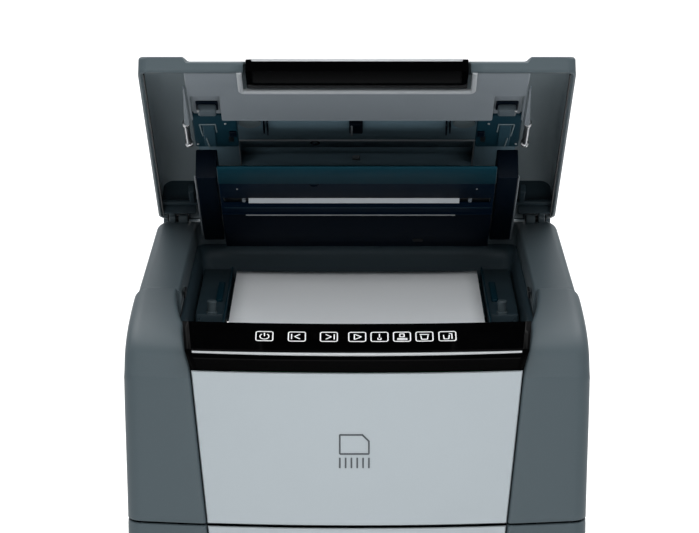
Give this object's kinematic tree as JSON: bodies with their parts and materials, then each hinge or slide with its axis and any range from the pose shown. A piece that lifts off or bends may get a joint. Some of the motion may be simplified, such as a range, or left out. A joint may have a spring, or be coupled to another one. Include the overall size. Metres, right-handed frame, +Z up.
{
  "type": "paper shredder",
  "caption": "Deskside auto-feed paper shredder with a hinged lid, sheet tray, sprung pressure plate, geared cutters and a pull-out bin on castors.",
  "frame": {"origin": "on the floor under the middle of the machine's box with the lid open", "axes": "+Z up, front faces -Y, +X to the right seen from the front; the lid's hinge runs along X at the rear of the deck"},
  "size_m": [0.354, 0.3693, 0.7436],
  "materials": {
    "slate_plastic": "fine texture",
    "grey_plastic": "satin",
    "silver_panel": "silver satin paint",
    "black_gloss": "piano gloss",
    "teal_plastic": "satin",
    "steel": "machined",
    "nylon": "satin",
    "paper": "plain office sheets",
    "rubber": "matt",
    "circuit_board": "solder mask",
    "window": "smoked clear plastic"
  },
  "bodies": {
    "body": {"head_shell": "slate_plastic", "side_cover_l": "slate_plastic", "side_cover_r": "slate_plastic", "control_panel": "black_gloss", "trim_strip": "silver_panel", "front_panel": "silver_panel", "control_board": "circuit_board", "paper_tray": "slate_plastic", "tray_ledge_l": "slate_plastic", "tray_ledge_r": "slate_plastic", "paper_stack": "paper", "end_plate_l": "steel", "end_plate_r": "steel", "motor": "steel", "mains_inlet": "black_gloss", "hinge_pin_l": "steel", "hinge_pin_r": "steel", "cabinet_side_l": "slate_plastic", "cabinet_side_r": "slate_plastic", "cabinet_back": "slate_plastic", "base_plate": "slate_plastic", "cutter_deck": "slate_plastic"},
    "lid": {"lid_shell": "slate_plastic", "lid_inlay": "black_gloss", "lid_frame": "grey_plastic", "lid_lip": "black_gloss", "lid_liner": "teal_plastic", "plate_bracket_l": "teal_plastic", "plate_bracket_r": "teal_plastic", "lid_catch_l": "grey_plastic", "lid_catch_r": "grey_plastic", "spring_pin_l": "steel", "spring_pin_r": "steel"},
    "plate": {"pressure_plate": "teal_plastic", "guide_bar": "steel"},
    "bin": {"bin_bucket": "slate_plastic", "bin_panel": "silver_panel", "bin_side_l": "slate_plastic", "bin_side_r": "slate_plastic", "bin_window": "window", "bin_grip": "black_gloss"},
    "rocker": {"rocker_switch": "black_gloss"},
    "cutter_drum_a": {"cutter_a": "steel", "cutter_gear_a": "steel"},
    "cutter_drum_b": {"cutter_b": "steel", "cutter_gear_b": "steel"},
    "idler": {"idler_gear": "nylon"},
    "pinion": {"motor_pinion": "steel"},
    "feed_idler_a": {"feed_idler_a": "nylon"},
    "feed_idler_b": {"feed_idler_b": "nylon"},
    "roller_a": {"feed_roller_a": "rubber"},
    "roller_b": {"feed_roller_b": "rubber"},
    "castor_front_l": {"castor_fork_front_l": "steel"},
    "wheel_front_l": {"castor_wheel_front_l": "rubber"},
    "castor_front_r": {"castor_fork_front_r": "steel"},
    "wheel_front_r": {"castor_wheel_front_r": "rubber"},
    "castor_rear_l": {"castor_fork_rear_l": "steel"},
    "wheel_rear_l": {"castor_wheel_rear_l": "rubber"},
    "castor_rear_r": {"castor_fork_rear_r": "steel"},
    "wheel_rear_r": {"castor_wheel_rear_r": "rubber"}
  },
  "joints": [
    {"name": "lid_hinge", "type": "hinge", "parent": "body", "child": "lid", "pos_m": [0, 0.172, 0.553], "axis": [1, 0, 0], "range_deg": [0, 35]},
    {"name": "plate_lift", "type": "slide", "parent": "lid", "child": "plate", "axis": [0, 0.5736, 0.8192], "range_m": [0, 0.012], "stiffness_N_per_m": 250, "springref_m": -0.02},
    {"name": "bin_slide", "type": "slide", "parent": "body", "child": "bin", "axis": [0, -1, 0], "range_m": [0, 0.3]},
    {"name": "rocker_tilt", "type": "hinge", "parent": "body", "child": "rocker", "pos_m": [0.101, 0.1763, 0.4425], "axis": [1, 0, 0], "range_deg": [-8, 8]},
    {"name": "cutter_a_spin", "type": "hinge", "parent": "body", "child": "cutter_drum_a", "pos_m": [0, 0.002, 0.44], "axis": [1, 0, 0], "continuous": true},
    {"name": "cutter_b_spin", "type": "hinge", "parent": "body", "child": "cutter_drum_b", "pos_m": [0, 0.038, 0.44], "axis": [1, 0, 0], "continuous": true},
    {"name": "idler_spin", "type": "hinge", "parent": "body", "child": "idler", "pos_m": [0.149, 0.083, 0.44], "axis": [1, 0, 0], "continuous": true},
    {"name": "pinion_spin", "type": "hinge", "parent": "body", "child": "pinion", "pos_m": [0.149, 0.119, 0.44], "axis": [1, 0, 0], "continuous": true},
    {"name": "feed_idler_a_spin", "type": "hinge", "parent": "body", "child": "feed_idler_a", "pos_m": [0.149, -0.0052, 0.46602], "axis": [1, 0, 0], "continuous": true},
    {"name": "roller_a_spin", "type": "hinge", "parent": "body", "child": "roller_a", "pos_m": [0, -0.01, 0.48337], "axis": [1, 0, 0], "continuous": true},
    {"name": "feed_idler_b_spin", "type": "hinge", "parent": "body", "child": "feed_idler_b", "pos_m": [0.149, 0.0452, 0.46602], "axis": [1, 0, 0], "continuous": true},
    {"name": "roller_b_spin", "type": "hinge", "parent": "body", "child": "roller_b", "pos_m": [0, 0.05, 0.48337], "axis": [1, 0, 0], "continuous": true},
    {"name": "castor_front_l_swivel", "type": "hinge", "parent": "body", "child": "castor_front_l", "pos_m": [-0.14, -0.14, 0.0385], "axis": [0, 0, 1], "continuous": true},
    {"name": "wheel_front_l_spin", "type": "hinge", "parent": "castor_front_l", "child": "wheel_front_l", "pos_m": [-0.14, -0.13, 0.018], "axis": [1, 0, 0], "continuous": true},
    {"name": "castor_front_r_swivel", "type": "hinge", "parent": "body", "child": "castor_front_r", "pos_m": [0.14, -0.14, 0.0385], "axis": [0, 0, 1], "continuous": true},
    {"name": "wheel_front_r_spin", "type": "hinge", "parent": "castor_front_r", "child": "wheel_front_r", "pos_m": [0.14, -0.13, 0.018], "axis": [1, 0, 0], "continuous": true},
    {"name": "castor_rear_l_swivel", "type": "hinge", "parent": "body", "child": "castor_rear_l", "pos_m": [-0.14, 0.14, 0.0385], "axis": [0, 0, 1], "continuous": true},
    {"name": "wheel_rear_l_spin", "type": "hinge", "parent": "castor_rear_l", "child": "wheel_rear_l", "pos_m": [-0.14, 0.15, 0.018], "axis": [1, 0, 0], "continuous": true},
    {"name": "castor_rear_r_swivel", "type": "hinge", "parent": "body", "child": "castor_rear_r", "pos_m": [0.14, 0.14, 0.0385], "axis": [0, 0, 1], "continuous": true},
    {"name": "wheel_rear_r_spin", "type": "hinge", "parent": "castor_rear_r", "child": "wheel_rear_r", "pos_m": [0.14, 0.15, 0.018], "axis": [1, 0, 0], "continuous": true}
  ],
  "couplings": [
    {"joint": "cutter_b_spin", "follows": "cutter_a_spin", "ratio": -1},
    {"joint": "idler_spin", "follows": "cutter_a_spin", "ratio": 0.66667},
    {"joint": "pinion_spin", "follows": "cutter_a_spin", "ratio": -2},
    {"joint": "feed_idler_a_spin", "follows": "cutter_a_spin", "ratio": -2},
    {"joint": "roller_a_spin", "follows": "cutter_a_spin", "ratio": 2},
    {"joint": "feed_idler_b_spin", "follows": "cutter_a_spin", "ratio": 2},
    {"joint": "roller_b_spin", "follows": "cutter_a_spin", "ratio": -2}
  ]
}
